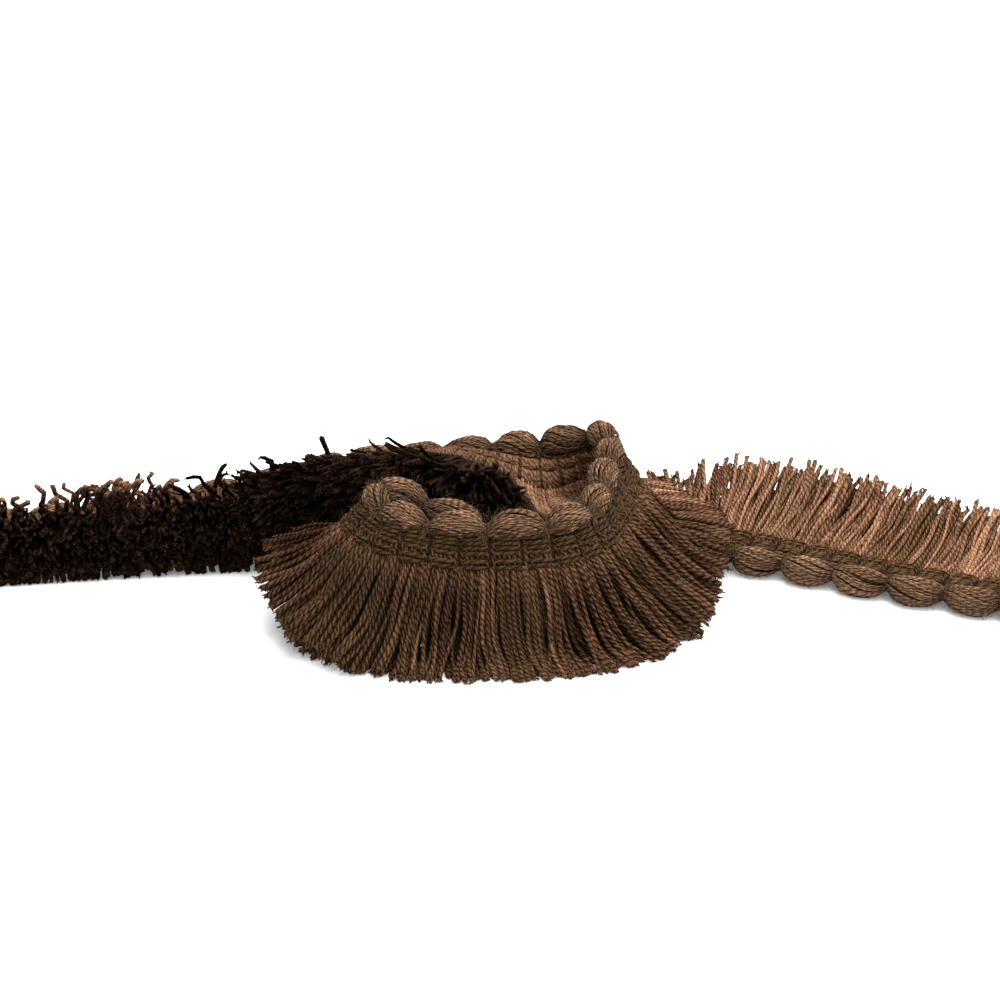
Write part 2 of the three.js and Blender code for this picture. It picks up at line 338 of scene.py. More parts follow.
# Meshes of many yarns at once
@dataclass
class YarnBundle:
    """Gathers round yarns and makes one mesh of them, with a twist map and a tone for each yarn, and
    painted shade at each point.
    """

    sides: int = 5
    points: list[np.ndarray] = field(default_factory=list)
    faces: list[np.ndarray] = field(default_factory=list)
    maps: list[np.ndarray] = field(default_factory=list)
    tones: list[np.ndarray] = field(default_factory=list)
    count: int = 0

    def add(
        self,
        lines: np.ndarray,
        radii: np.ndarray,
        reference: np.ndarray,
        tone: Numbers,
        hue: Numbers,
        twist: Numbers,
        start: Numbers = 0.0,
        dark: Numbers = 0.0,
    ) -> None:
        """Adds yarns that all have the same number of points.

        Args:
            lines: Middle lines in millimetres, shaped (yarns, points, 3).
            radii: Radii in millimetres, shaped (yarns, points) or (yarns, 1).
            reference: A direction that no line runs along, shaped to match the lines.
            tone: Lightness of each yarn from 0 to 1.
            hue: Colour choice of each yarn from 0 to 1.
            twist: Length in millimetres of one turn of the plies, for all or for each.
            start: Share of the twist at which each yarn begins.
            dark: How much painted shade each point has, from 0 to 1.
        """
        n, k = lines.shape[:2]
        s = self.sides
        tangent = unit(np.gradient(lines, axis=1))
        ref = np.broadcast_to(reference, lines.shape)
        normal = unit(ref - tangent * np.sum(ref * tangent, axis=-1, keepdims=True))
        binormal = np.cross(tangent, normal)
        angle = (2 * np.pi * np.arange(s) / s)[:, None]
        ring = normal[:, :, None] * np.cos(angle) + binormal[:, :, None] * np.sin(angle)
        verts = lines[:, :, None] + ring * np.broadcast_to(radii, (n, k))[..., None, None]
        index = (np.arange(n * k * s) + self.count).reshape(n, k, s)
        a, d = index[:, :-1], index[:, 1:]
        b, c = np.roll(a, -1, axis=2), np.roll(d, -1, axis=2)
        self.faces.append(np.stack([a, b, c, d], axis=-1).reshape(-1, 4))
        gaps = np.linalg.norm(np.diff(lines, axis=1), axis=-1)
        run = np.concatenate([np.zeros((n, 1)), np.cumsum(gaps, axis=1)], axis=1)
        v = run / np.reshape(twist, (-1, 1)) + np.reshape(start, (-1, 1))
        u0 = np.broadcast_to(np.arange(s) / s, (n, k - 1, s))
        u1 = u0 + 1.0 / s
        v0, v1 = (np.broadcast_to(w[..., None], u0.shape) for w in (v[:, :-1], v[:, 1:]))
        corner = np.stack([u0, v0, u1, v0, u1, v1, u0, v1], axis=-1)
        self.maps.append(corner.reshape(-1, 4, 2))
        colour = np.empty((n, k, s, 4), np.float32)
        colour[..., 0] = np.reshape(tone, (-1, 1, 1))
        colour[..., 1] = np.broadcast_to(np.asarray(dark, float), (n, k))[..., None]
        colour[..., 2] = np.reshape(hue, (-1, 1, 1))
        colour[..., 3] = 1.0
        self.points.append(verts.reshape(-1, 3))
        self.tones.append(colour.reshape(-1, 4))
        self.count += n * k * s
        self._close(index)

    def _close(self, index: np.ndarray) -> None:
        """Closes both ends of the yarns just added, with a face of three corners where one is left.

        Args:
            index: Vertex numbers, shaped (yarns, points, sides).
        """
        last = self.sides - 1
        for ring in (index[:, 0, ::-1], index[:, -1, :]):
            for j in range(1, last, 2):
                self.faces.append(ring[:, [0, j, j + 1, min(j + 2, last)]])
                self.maps.append(np.full((len(ring), 4, 2), 0.25))

    def build(self, name: str, material: bpy.types.Material) -> bpy.types.Object:
        """Makes the mesh object.

        Args:
            name: Name of the piece.
            material: Its finish.

        Returns:
            The object, at the origin, with its place in its mesh.
        """
        points = np.concatenate(self.points) * MM
        faces = np.concatenate(self.faces)
        maps = np.concatenate(self.maps)
        three = faces[:, 2] == faces[:, 3]
        sizes = np.where(three, 3, 4)
        keep = np.ones(faces.shape, bool)
        keep[three, 3] = False
        mesh = bpy.data.meshes.new(name)
        mesh.vertices.add(len(points))
        mesh.vertices.foreach_set("co", points.astype(np.float32).ravel())
        loops = faces[keep]
        mesh.loops.add(len(loops))
        mesh.loops.foreach_set("vertex_index", loops.astype(np.int32))
        mesh.polygons.add(len(faces))
        starts = np.concatenate([[0], np.cumsum(sizes)[:-1]])
        mesh.polygons.foreach_set("loop_start", starts.astype(np.int32))
        mesh.polygons.foreach_set("use_smooth", np.ones(len(faces), bool))
        mesh.update(calc_edges=True)
        layer = mesh.uv_layers.new(name="twist")
        layer.data.foreach_set("uv", maps[keep].astype(np.float32).ravel())
        tone = mesh.attributes.new("yarn", "FLOAT_COLOR", "POINT")
        tone.data.foreach_set("color", np.concatenate(self.tones).ravel())
        mesh.materials.append(material)
        piece = bpy.data.objects.new(name, mesh)
        bpy.context.scene.collection.objects.link(piece)
        return piece


# Finishes
@dataclass
class Nodes:
    """Adds nodes to one material."""

    tree: bpy.types.NodeTree

    def add(self, kind: str, inputs: dict[str | int, object], **settings: str) -> bpy.types.Node:
        """Adds one node.

        Args:
            kind: Blender's name for it, after the words that all share.
            inputs: What goes in at each socket: another socket, a number or a colour.
            settings: The node's own settings.

        Returns:
            The node.
        """
        node = self.tree.nodes.new("ShaderNode" + kind)
        for name, value in settings.items():
            setattr(node, name, value)
        for name, value in inputs.items():
            if isinstance(value, Socket):
                self.tree.links.new(value, node.inputs[name])
            else:
                node.inputs[name].default_value = (*value, 1) if isinstance(value, tuple) else value
        return node

    def math(self, kind: str, *values: object) -> Socket:
        """One sum of sockets or numbers."""
        return self.add("Math", dict(enumerate(values)), operation=kind).outputs[0]

    def mix(self, share: object, first: object, second: object) -> Socket:
        """A blend of two colours, by the share of the second."""
        return self.add("Mix", {0: share, 6: first, 7: second}, data_type="RGBA").outputs[2]

    def noise(self, scale: float, detail: float) -> Socket:
        """Noise fixed to the piece, about 0 to 1, with its repeats in a metre and its fineness."""
        place = self.add("TexCoord", {}).outputs["Object"]
        inputs = {"Scale": scale, "Detail": detail, "Roughness": 0.65, "Vector": place}
        return self.add("TexNoise", inputs).outputs["Fac"]


@dataclass(frozen=True)
class YarnFinish:
    """Plied yarn: two plies twisted together, soft fibres, and a colour for each yarn, with a painted
    highlight on the plies' crowns, painted shade in their grooves, and painted shade where each point
    carries it.
    """

    name: str
    dark: tuple[float, float, float]
    middle: tuple[float, float, float]
    light: tuple[float, float, float]
    tint: tuple[float, float, float]
    # cut: colour of the painted shade that each point carries, deepest on cut ends, covered yarns and the
    # pile
    cut: tuple[float, float, float]
    # Strength of the painted shade in the plies' grooves and of the painted highlight on their crowns
    groove: float = 0.45
    crown: float = 0.4
    depth: float = 0.0002
    roughness: float = 0.95
    specular: float = 0.10
    sheen: float = 0.05

    def material(self) -> bpy.types.Material:
        """Builds the material's nodes.

        Returns:
            The finished material.
        """
        made = bpy.data.materials.new(self.name)
        made.use_nodes = True
        made.node_tree.nodes.clear()
        nodes = Nodes(made.node_tree)
        plies = self._plies(nodes)
        fibre = nodes.noise(2600.0, 3.0)
        height = nodes.math("MULTIPLY_ADD", fibre, 0.3, plies)
        bump = nodes.add("Bump", {"Strength": 1.0, "Distance": self.depth, "Height": height})
        shader = nodes.add("BsdfPrincipled", {
            "Base Color": self._colour(nodes, plies, fibre), "Normal": bump.outputs[0],
            "Roughness": self.roughness, "Specular IOR Level": self.specular,
            "Sheen Weight": self.sheen, "Sheen Roughness": 0.5, "Sheen Tint": self.light,
        })
        nodes.add("OutputMaterial", {"Surface": shader.outputs[0]})
        return made

    def _plies(self, nodes: Nodes) -> Socket:
        """Height of the two plies, from 0 in the groove to 1 on the crown.

        Args:
            nodes: The material's nodes.

        Returns:
            The socket that holds the height.
        """
        twist = nodes.add("UVMap", {}, uv_map="twist").outputs[0]
        split = nodes.add("SeparateXYZ", {0: twist}).outputs
        turn = nodes.math("MULTIPLY_ADD", split[0], 2.0, split[1])
        turn = nodes.math("MULTIPLY_ADD", nodes.noise(420.0, 2.0), 1.5, turn)
        swing = nodes.math("MULTIPLY_ADD", nodes.math("FRACT", turn), 2.0, -1.0)
        return nodes.math("SUBTRACT", 1.0, nodes.math("MULTIPLY", swing, swing))

    def _colour(self, nodes: Nodes, plies: Socket, fibre: Socket) -> Socket:
        """Colour of the yarn from its tone and hue, with a painted highlight on the plies' crowns, painted
        shade in their grooves, and the painted shade that each point carries.

        Args:
            nodes: The material's nodes.
            plies: Height of the plies.
            fibre: Unevenness of the fibres.

        Returns:
            The socket that holds the colour.
        """
        yarn = nodes.add("Attribute", {}, attribute_name="yarn").outputs["Color"]
        look = nodes.add("SeparateColor", {0: yarn}).outputs
        tone = nodes.math("ADD", look[0], nodes.math("MULTIPLY_ADD", fibre, 0.9, -0.45))
        patches = nodes.math("MULTIPLY_ADD", nodes.noise(330.0, 2.0), 0.7, -0.35)
        ramp = nodes.add("ValToRGB", {0: nodes.math("ADD", tone, patches)})
        stops = ramp.color_ramp.elements
        stops[0].color = (*self.dark, 1)
        stops[1].color = (*self.light, 1)
        stops.new(0.5).color = (*self.middle, 1)
        tinted = nodes.mix(nodes.math("MULTIPLY", look[2], 0.65), ramp.outputs[0], self.tint)
        # Painted highlight on the plies' crowns
        ridge = nodes.math("POWER", plies, 3.0)
        crown = nodes.math("MULTIPLY", ridge, nodes.math("MULTIPLY", fibre, self.crown))
        lit = nodes.mix(crown, tinted, self.light)
        # Painted shade in the grooves between the plies
        shade = nodes.math("SUBTRACT", 1.0, plies)
        grooved = nodes.mix(nodes.math("MULTIPLY", shade, self.groove), lit, self.dark)
        # Painted shade carried by each point, blended toward the cut colour
        return nodes.mix(look[1], grooved, self.cut)


BRUSH_YARN = YarnFinish(
    "brush_yarn", (0.010, 0.0042, 0.0020), (0.090, 0.039, 0.020), (0.46, 0.235, 0.135),
    (0.080, 0.047, 0.017), (0.0028, 0.0014, 0.0008), groove=0.6, crown=0.42,
    specular=0.02, sheen=0.0,
)
WARP_YARN = YarnFinish(
    "warp_yarn", (0.008, 0.0035, 0.0011), (0.062, 0.031, 0.010), (0.22, 0.118, 0.048),
    (0.085, 0.042, 0.018), (0.003, 0.0015, 0.0007), groove=0.8, crown=0.35,
)
EDGING_YARN = YarnFinish(
    "edging_yarn", (0.022, 0.009, 0.004), (0.135, 0.064, 0.033), (0.55, 0.32, 0.18),
    (0.16, 0.078, 0.045), (0.006, 0.003, 0.0015), groove=0.9, crown=0.45, depth=0.00015,
)
# Near-black finish, painted shade for the band's core and the edging's heart
PAINTED_SHADE_CORE = YarnFinish(
    "painted_shade_core", (0.004, 0.002, 0.001), (0.013, 0.0065, 0.003), (0.03, 0.015, 0.007),
    (0.012, 0.006, 0.003), (0.02, 0.012, 0.006),
)
FUZZ = YarnFinish(
    "loose_fibre", (0.085, 0.05, 0.032), (0.19, 0.125, 0.085), (0.42, 0.30, 0.21),
    (0.16, 0.10, 0.065), (0.006, 0.003, 0.002), groove=0.0, crown=0.0, sheen=0.2,
)


# Section of the band's core, and the ways of the brush's yarns up its front and its back,
# as distance off the middle and depth below the band's upper edge, in millimetres
CORE_OUTLINE = (
    (0.62, 4.31), (0.62, 5.35), (0.0, 5.35), (-0.62, 5.35),
    (-0.62, 1.19), (-0.62, -0.55), (0.0, -0.55), (0.62, -0.55),
)
FRONT_WAY = ((0.25, 0.1), (0.5, 1.4), (0.62, 2.7), (0.88, 3.35), (0.62, 4.0), (0.5, 5.45))
BACK_WAY = ((0.4, 0.2), (1.0, 0.9), (1.0, 1.6), (0.55, 2.3), (1.02, 3.1), (0.8, 5.8))


# The woven heading
@dataclass
class Heading:
    """The woven band: a core, upright yarns of the brush, and cords of warp laid over them."""

    lay: Lay
    column: float = 5.4
    front_warps: tuple[float, ...] = (-0.55, 0.22, 1.0, 1.77, 2.54, 4.0, 4.85)
    back_warps: tuple[float, ...] = (0.1, 2.35)
    warp_radius: float = 0.35
    rings_per_column: int = 10
    upright_pitch: float = 0.9
    upright_share: float = 0.155
    upright_radius: float = 0.42
    back_pitch: float = 0.78

    @property
    def columns(self) -> int:
        """Number of columns that the warps' dips part the band into."""
        return int(round(self.lay.total / self.column))

    def build(self) -> list[bpy.types.Object]:
        """Makes the band's three pieces.

        Returns:
            The core, the uprights and the warps.
        """
        core = self._core()
        uprights = self._uprights()
        warps = self._warps()
        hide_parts("heading_band")
        pieces = [core, uprights, warps]
        for piece in pieces:
            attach(piece, "root")
        return pieces

    def _core(self) -> bpy.types.Object:
        """A thin near-black ribbon that no light passes through, painted shade that shows between the
        band's yarns.

        Returns:
            The piece.
        """
        sizes = self.lay.sizes
        bundle = YarnBundle(sides=len(CORE_OUTLINE))
        length = np.linspace(0, self.lay.total, 380)
        frames = self.lay.frames_at(length)
        middle = frames.place(sizes.band_top, 0.0)
        bundle.add(middle[None], np.ones((1, 1)), frames.face[None], 0.4, 0.5, 1.4)
        # The round section gives way to the outline, which runs round the other way
        outline = [frames.place(sizes.band_top + deep, out) for out, deep in reversed(CORE_OUTLINE)]
        bundle.points[0] = np.stack(outline, axis=1).reshape(-1, 3)
        return bundle.build("heading_core", PAINTED_SHADE_CORE.material())

    def _uprights(self) -> bpy.types.Object:
        """Yarns of the brush where they pass up through the band, on both faces.

        Returns:
            The piece.
        """
        sizes = self.lay.sizes
        rng = np.random.default_rng(SEED + 1)
        bundle = YarnBundle(sides=5)
        columns = self.columns
        in_column = int(self.column / self.upright_pitch)
        places = (np.arange(in_column) - (in_column - 1) / 2) * self.upright_share + 0.5
        gathered = (np.arange(columns)[:, None] + places).ravel() * self.lay.total / columns
        even = np.arange(0.5, self.lay.total - 0.5, self.back_pitch)
        # Painted light and shade: a light tone for the uprights on the back face, a dark one for those on
        # the front
        sides = ((1.0, FRONT_WAY, gathered, 0.20), (-1.0, BACK_WAY, even, 0.85))
        for face, way, length, light in sides:
            n = len(length)
            length = length + rng.normal(0, 0.05, n)
            frames = self.lay.frames_at(length)
            line = np.stack([frames.place(sizes.band_top + d, face * o) for o, d in way], axis=1)
            # Painted shade on the front face, near the pile, and in lines between the columns on the back
            # face
            dark = 0.6 * smooth(21.3, 22.3, self.lay.row_at(length)) + 0.21 * (1 + face)
            phase = length * columns / self.lay.total
            dark = np.maximum(dark, 0.8 * near(phase, np.round(phase), 0.1) * (face < 0))
            tone = np.clip(rng.normal(light, 0.12, n), 0, 1)
            bundle.add(
                line, np.full((n, 1), self.upright_radius), frames.along[:, None, :], tone,
                rng.uniform(0, 0.4, n), 1.3, rng.uniform(0, 1, n), dark[:, None],
            )
        return bundle.build("heading_uprights", BRUSH_YARN.material())

    def _warps(self) -> bpy.types.Object:
        """Cords of warp along both faces, each dipping into the band between two columns.

        Returns:
            The piece.
        """
        sizes = self.lay.sizes
        rng = np.random.default_rng(SEED + 2)
        bundle = YarnBundle(sides=6)
        columns = self.columns
        n = columns * self.rings_per_column + 1
        length = np.linspace(0.02, self.lay.total - 0.02, n)
        phase = np.linspace(0, columns, n)
        dip = near(phase, np.round(phase), 0.15)
        tie = np.min(np.abs(length[:, None] - self.lay.ties[None, :]), axis=1) / self.column
        frames = self.lay.frames_at(length)
        at = np.arange(columns + 1)
        shade = 0.42 * window(*SKIRT_ROWS, self.lay.row_at(length))
        for face, depths in ((1.0, self.front_warps), (-1.0, self.back_warps)):
            for row, depth in enumerate(depths):
                deep = sizes.band_top + depth + np.interp(phase, at, rng.normal(0, 0.09, columns + 1))
                out = 1.12 - 0.75 * dip + np.interp(phase, at, rng.normal(0, 0.05, columns + 1))
                if depth < 1:
                    toward = near(tie, 0.0, 0.28)
                    deep = deep - (0.9 - 0.3 * row) * toward
                    out = out + 0.42 * smooth(0.4, -0.6, np.array(depth)) - (0.45 - 0.3 * row) * toward
                line = frames.place(deep, face * out)
                # Painted shade in the dips between the columns, and on the warps round the front
                bundle.add(
                    line[None], (self.warp_radius * (1 - 0.3 * dip))[None], frames.face[None],
                    rng.uniform(0.42, 0.6), rng.uniform(0, 0.6), 1.7, rng.uniform(0, 1),
                    np.maximum(0.75 * dip, shade)[None],
                )
        return bundle.build("heading_warps", WARP_YARN.material())


# The puffed edging
@dataclass
class Edging:
    """The edging: a bundle of yarns in each puff, a near-black heart of painted shade, and ties between the
    puffs.
    """

    lay: Lay
    yarns: int = 38
    points: int = 11
    yarn_radius: float = 0.26
    tie_radius: float = 0.23

    def build(self) -> list[bpy.types.Object]:
        """Makes the edging's three pieces.

        Returns:
            The heart, the bundles and the ties.
        """
        heart = self._heart()
        bundles = self._bundles()
        ties = self._ties()
        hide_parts("edging_cord")
        for piece, slot in ((heart, "cord_yarn"), (bundles, "cord_yarn"), (ties, "warp_yarn")):
            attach(piece, "root")
        return [heart, bundles, ties]

    def _heart(self) -> bpy.types.Object:
        """A near-black swelling core inside the bundles, painted shade that shows between their yarns.

        Returns:
            The piece.
        """
        ties = self.lay.ties
        phase = np.linspace(0, len(ties) - 1, (len(ties) - 1) * 8 + 1)
        length = np.interp(phase, np.arange(len(ties)), ties)
        swell = np.sin(np.pi * (phase % 1.0)) ** 0.7
        frames = self.lay.frames_at(length, 0.3)
        line = frames.place(0.5 + 1.3 * (1 - swell), 0.0)
        bundle = YarnBundle(sides=8)
        bundle.add(line[None], (0.65 + 1.0 * swell)[None], frames.face[None], 0.4, 0.3, 2.0)
        return bundle.build("edging_heart", PAINTED_SHADE_CORE.material())

    def _bundles(self) -> bpy.types.Object:
        """The yarns on the outside of each puff, spread in its middle and drawn in at its ties.

        Returns:
            The piece.
        """
        rng = np.random.default_rng(SEED + 3)
        ties = self.lay.ties
        scallops = len(ties) - 1
        bundle = YarnBundle(sides=4)
        t = np.linspace(-0.04, 1.04, self.points)
        swell = np.sin(np.pi * np.clip((t - 0.045) / 0.91, 0, 1)) ** 0.42
        for i in range(scallops):
            fat = rng.uniform(0.93, 1.05)
            skew = rng.uniform(-0.12, 0.12)
            length = ties[i] + (ties[i + 1] - ties[i]) * t
            frames = self.lay.frames_at(length, 0.2)
            n = self.yarns
            angle0 = 2 * np.pi * (np.arange(n) + rng.uniform(-0.3, 0.3, n)) / n
            turn = rng.normal(1.25, 0.2, n)
            angle = angle0[:, None] + turn[:, None] * (t - 0.5)
            inner = np.where(np.arange(n) % 5 == 4, 0.88, 1.0) * rng.uniform(0.97, 1.03, n)
            wave = rng.normal(0, 0.05, (n, self.points)) * swell
            sink = self.lay.sink(length)
            radius = (0.75 + 1.67 * fat * swell) * inner[:, None] * (1 - 0.08 * sink) + wave
            deep = 0.25 + SINK * sink + 1.3 * (1 - swell) + skew * np.sin(2 * np.pi * t)
            depth = deep + radius * np.sin(angle) * 1.02
            out = radius * np.cos(angle) * 0.98
            line = frames.place(depth, out)
            away = unit(frames.around(angle))
            size = self.yarn_radius * rng.uniform(0.85, 1.15, (n, 1)) * (0.7 + 0.3 * swell)
            line[..., 2] = np.maximum(line[..., 2], size)
            # Painted shade at the pinches between the puffs and on the inner yarns, spread at random
            dark = 0.65 * (1 - swell) ** 0.8 + np.where(inner < 0.94, 0.7, 0.0)[:, None]
            dark = np.clip(dark + rng.uniform(-0.1, 0.25, (n, 1)), 0, 1)
            bundle.add(
                line, size, away, np.clip(rng.normal(0.46, 0.15, n), 0, 1), rng.uniform(0, 0.7, n), 1.3,
                rng.uniform(0, 1, n), dark,
            )
        return bundle.build("edging_bundles", EDGING_YARN.material())

    def _ties(self) -> bpy.types.Object:
        """Yarns that come out of the band, go round the edging between two puffs and return.

        Returns:
            The piece.
        """
        rng = np.random.default_rng(SEED + 4)
        ties = self.lay.ties[1:-1]
        bundle = YarnBundle(sides=5)
        steps = np.array([-0.9, -0.6, -0.3, -0.15, 0.0, 0.15, 0.3, 0.6, 0.9])
        depth = np.array([3.9, 3.1, 2.1, 1.2, 0.68, 1.2, 2.1, 3.1, 3.9])
        out = np.array([0.8, 1.15, 1.15, 0.85, 0.0, -0.85, -1.15, -1.15, -0.8])
        for strand in range(3):
            along = (strand - 1) * 0.42
            lines = []
            for step, d, o in zip(steps, depth, out):
                length = ties + step + along
                d = d + along * 0.3 + SINK * self.lay.sink(length)
                lines.append(self.lay.frames_at(length).place(d, o))
            line = np.stack(lines, axis=1)
            n = len(ties)
            reference = self.lay.frames_at(ties).along[:, None, :]
            # A fixed painted shade on the ties, which sit in the pinches between the puffs
            bundle.add(
                line, np.full((n, 1), self.tie_radius), reference, np.clip(rng.normal(0.42, 0.1, n), 0, 1),
                rng.uniform(0.2, 0.9, n), 1.5, rng.uniform(0, 1, n), 0.35,
            )
        return bundle.build("edging_ties", WARP_YARN.material())


# Bends of the brush where the trim turns and twists
@dataclass(frozen=True)
class Bend:
    """A bend of the yarns off the brush's plane near one row, from one layer on to another."""

    row: float
    width: float
    angle: float
    first: float = -3.0
    last: float = -2.0

    def at(self, row: np.ndarray, layer: np.ndarray) -> np.ndarray:
        """Angles in radians for yarns at rows and layers."""
        return self.angle * smooth(self.first, self.last, layer) * near(row, self.row, self.width)


# The first also turns its yarns aside. One without layers bends them all.
LEFT_BEND = Bend(11.9, 0.45, 0.28, -0.2, 1.0)
BENDS = (
    Bend(12.25, 0.45, -0.11), Bend(22.0, 0.35, -0.4), Bend(23.3, 0.8, 0.9, 0.0, 1.0),
    Bend(22.5, 0.4, 0.45, 0.1, 0.9), Bend(25.0, 1.2, 0.22, -0.5, -1.0), Bend(22.5, 0.5, -0.22, 0.5, -0.6),
)


@dataclass
class Roots:
    """Where the yarns of a stretch are rooted, and how much each curls up and aside.

    Layers go from -1 at the back face of the trim to 1 at its front face.
    """

    length: np.ndarray
    row: np.ndarray
    layer: np.ndarray
    curl: np.ndarray


@dataclass
class Habit:
    """How the yarns of a stretch grow, with one number for each yarn.

    Height is its place in the stack, pile its share in the flat pile, and whole its length. It is
    raised off the brush's plane, and extra towards its tip. Along the trim it leans by its sway,
    its bend, and gather, which draws it into its bunch. Waves, rate and amount make it wavy, and
    knotted, kink and way shape its curl.
    """

    roots: Roots
    height: np.ndarray
    pile: np.ndarray
    whole: np.ndarray
    raised: np.ndarray
    extra: np.ndarray
    sway: np.ndarray
    gather: np.ndarray
    bend: np.ndarray
    waves: np.ndarray
    rate: np.ndarray
    amount: np.ndarray
    knotted: np.ndarray
    kink: np.ndarray
    way: np.ndarray

    def heading(self, i: int, share: float, frames: Frames, sizes: TrimSizes) -> np.ndarray:
        """Where the yarns point in one of their segments.

        Args:
            i: Number of the segment.
            share: Share of the yarns' length that its middle is at.
            frames: The frames at their roots.
            sizes: Sizes of the trim.

        Returns:
            The directions, of length 1.
        """
        spread = sizes.root_share + (sizes.tip_share - sizes.root_share) * share
        spread = spread * (1 - self.pile) + self.pile * (0.62 + 0.36 * share)
        curl = self.roots.curl
        turn = self.roots.layer * frames.fan * spread + self.raised + self.extra * share * 1.6
        turn = turn + self.amount * np.sin(self.waves[0] + i * self.rate)
        aside = self.sway * (0.4 + share) + self.gather + self.bend * (share - 0.4)
        aside = aside + self.amount * (0.6 + 0.8 * share) * np.sin(self.waves[1] + i * self.rate)
        aside = aside + curl * self.way * share + self.knotted * np.sin(self.kink + 1.5 * i)
        up = curl * 1.35 * math.sin(3.3 * share) + 0.6 * self.knotted * np.cos(self.kink + 1.9 * i)
        return unit(
            frames.across * np.cos(turn)[:, None] + frames.face * np.sin(turn)[:, None]
            + frames.along * aside[:, None] + UP * up[:, None]
        )


# The cut brush
@dataclass
class Brush:
    """The brush: plied yarns rooted in the band, gathered in small bunches, and cut level."""

    lay: Lay
    layers: int = 11
    pitch: float = 0.82
    segments: int = 8
    yarn_radius: float = 0.35
    bunch: float = 3.2
    slant: float = 0.4
    strays: float = 0.025
    root_in_band: float = 0.7
    fuzz: float = 0.75
    fuzz_radius: float = 0.03

    def build(self) -> list[bpy.types.Object]:
        """Makes one piece for each stretch of the brush.

        Returns:
            The pieces.
        """
        material = BRUSH_YARN.material()
        pieces = []
        for place, stretch in enumerate(STRETCHES):
            piece = self._stretch(stretch, place, material)
            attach(piece, "root")
            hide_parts(stretch.node)
            pieces.append(piece)
        return pieces

    def _stretch(self, stretch: Stretch, place: int, material: bpy.types.Material) -> bpy.types.Object:
        """The yarns of one stretch.

        Args:
            stretch: The stretch.
            place: Its number, for its own random numbers.
            material: The brush's finish.

        Returns:
            The piece.
        """
        rng = np.random.default_rng(SEED + 20 + place)
        roots = self._roots(stretch, rng)
        layer = roots.layer
        n = len(layer)
        lines, frames = self._march(roots, rng)
        share = np.linspace(0, 1, self.segments + 1)
        radius = self.yarn_radius * rng.uniform(0.74, 1.15, (n, 1)) * (1 + 0.2 * share**3)
        tone, hue, dark, pile = self._look(roots, rng)
        radius[:, -1] *= 1 - 0.4 * pile * smooth(0.9, 0.6, layer)
        swollen = 1 + 0.45 * pile * smooth(0.7, 0.95, layer) + 0.25 * smooth(0.0, 0.5, roots.curl)
        radius *= swollen[:, None]
        lines[..., 2] = np.maximum(lines[..., 2], radius)
        bundle = YarnBundle(sides=5)
        twist = rng.uniform(1.0, 1.5, n)
        bundle.add(lines, radius, frames.along[:, None, :], tone, hue, twist, rng.uniform(0, 1, n), dark)
        self._tufts(bundle, lines, frames.along, (tone, hue, dark[:, -1]), rng)
        if stretch.growth not in (Growth.HIDDEN, Growth.THIN):
            # The fibres take part of the yarns' painted shade
            self._fuzz(bundle, lines, layer, dark * (0.35 + 0.5 * pile[:, None]), rng)
        return bundle.build("yarns_" + stretch.node, material)

    def _roots(self, stretch: Stretch, rng: Rng) -> Roots:
        """Roots the yarns of one stretch, and curls some of them on top of the pile.

        Args:
            stretch: The stretch.
            rng: Random numbers.

        Returns:
            The roots.
        """
        low, high = self.lay.length_at(stretch.start), self.lay.length_at(stretch.end)
        per_layer = int((high - low) / self.pitch)
        layers = max(2, int(self.layers * stretch.growth.value))
        n = per_layer * layers
        aside = rng.uniform(-0.45, 0.45, n)
        through = np.arange(n) // per_layer + rng.uniform(0.05, 0.95, n)
        thick = stretch.growth is Growth.THICK
        layer = (through / layers) ** (0.65 if thick else 1.0) * 2 - 1
        level = 0.85 * smooth(0.5, 0.75, layer) * thick
        along = np.arange(n) % per_layer + 0.5 + aside * (1 - level)
        length = low + (high - low) * along / per_layer
        row = self.lay.row_at(length)
        clump = smooth(0.6, 0.9, np.sin(4.7 * np.floor(length / self.bunch)))
        tangled = 0.13 * clump * smooth(23.0, 24.0, row) + 0.7 * near(row, 28.2, 0.36)
        curled = rng.uniform(0, 1, n) < tangled * smooth(0.1, -0.4, layer)
        return Roots(length, row, layer, np.where(curled, rng.uniform(0.5, 1.2, n), 0.0))

    def _look(self, roots: Roots, rng: Rng) -> tuple[np.ndarray, ...]:
        """Colours of the yarns, alike within a bunch, with painted shade where they are covered, creased or
        cut and over the pile, and painted light and shade in the tone of some stretches.

        Args:
            roots: Where the yarns are rooted.
            rng: Random numbers.

        Returns:
            Tone and hue of each yarn, painted shade at each of its points, and its share in the pile.
        """
        row, layer = roots.row, roots.layer
        n = len(row)
        share = np.linspace(0, 1, self.segments + 1)
        bunched = roots.length / self.bunch + self.slant * layer
        bunch = np.floor(bunched)
        skirt = window(*SKIRT_ROWS, row)
        tone = 0.5 + 0.06 * np.sin(bunch * 12.9898) + rng.normal(0, 0.19, n)
        # Painted light and shade in the tone: darker round the front, lighter at the right end, and lighter
        # on the inner side at the back of the loop
        tone = tone - 0.25 * skirt + 0.14 * smooth(*LIT_END, row)
        tone = np.clip(tone + 0.75 * smooth(18.6, 19.6, row) * smooth(0.6, -0.2, layer), 0.03, 1)
        # Painted shade in the creases between the bunches
        off = np.abs(2 * (bunched - bunch) - 1)
        crease = smooth(0.4, 0.95, off) * rng.uniform(0.4, 0.9, n)
        hue = np.clip(0.4 + 0.45 * np.sin(bunch * 7.13) + rng.normal(0, 0.25, n), 0, 1)
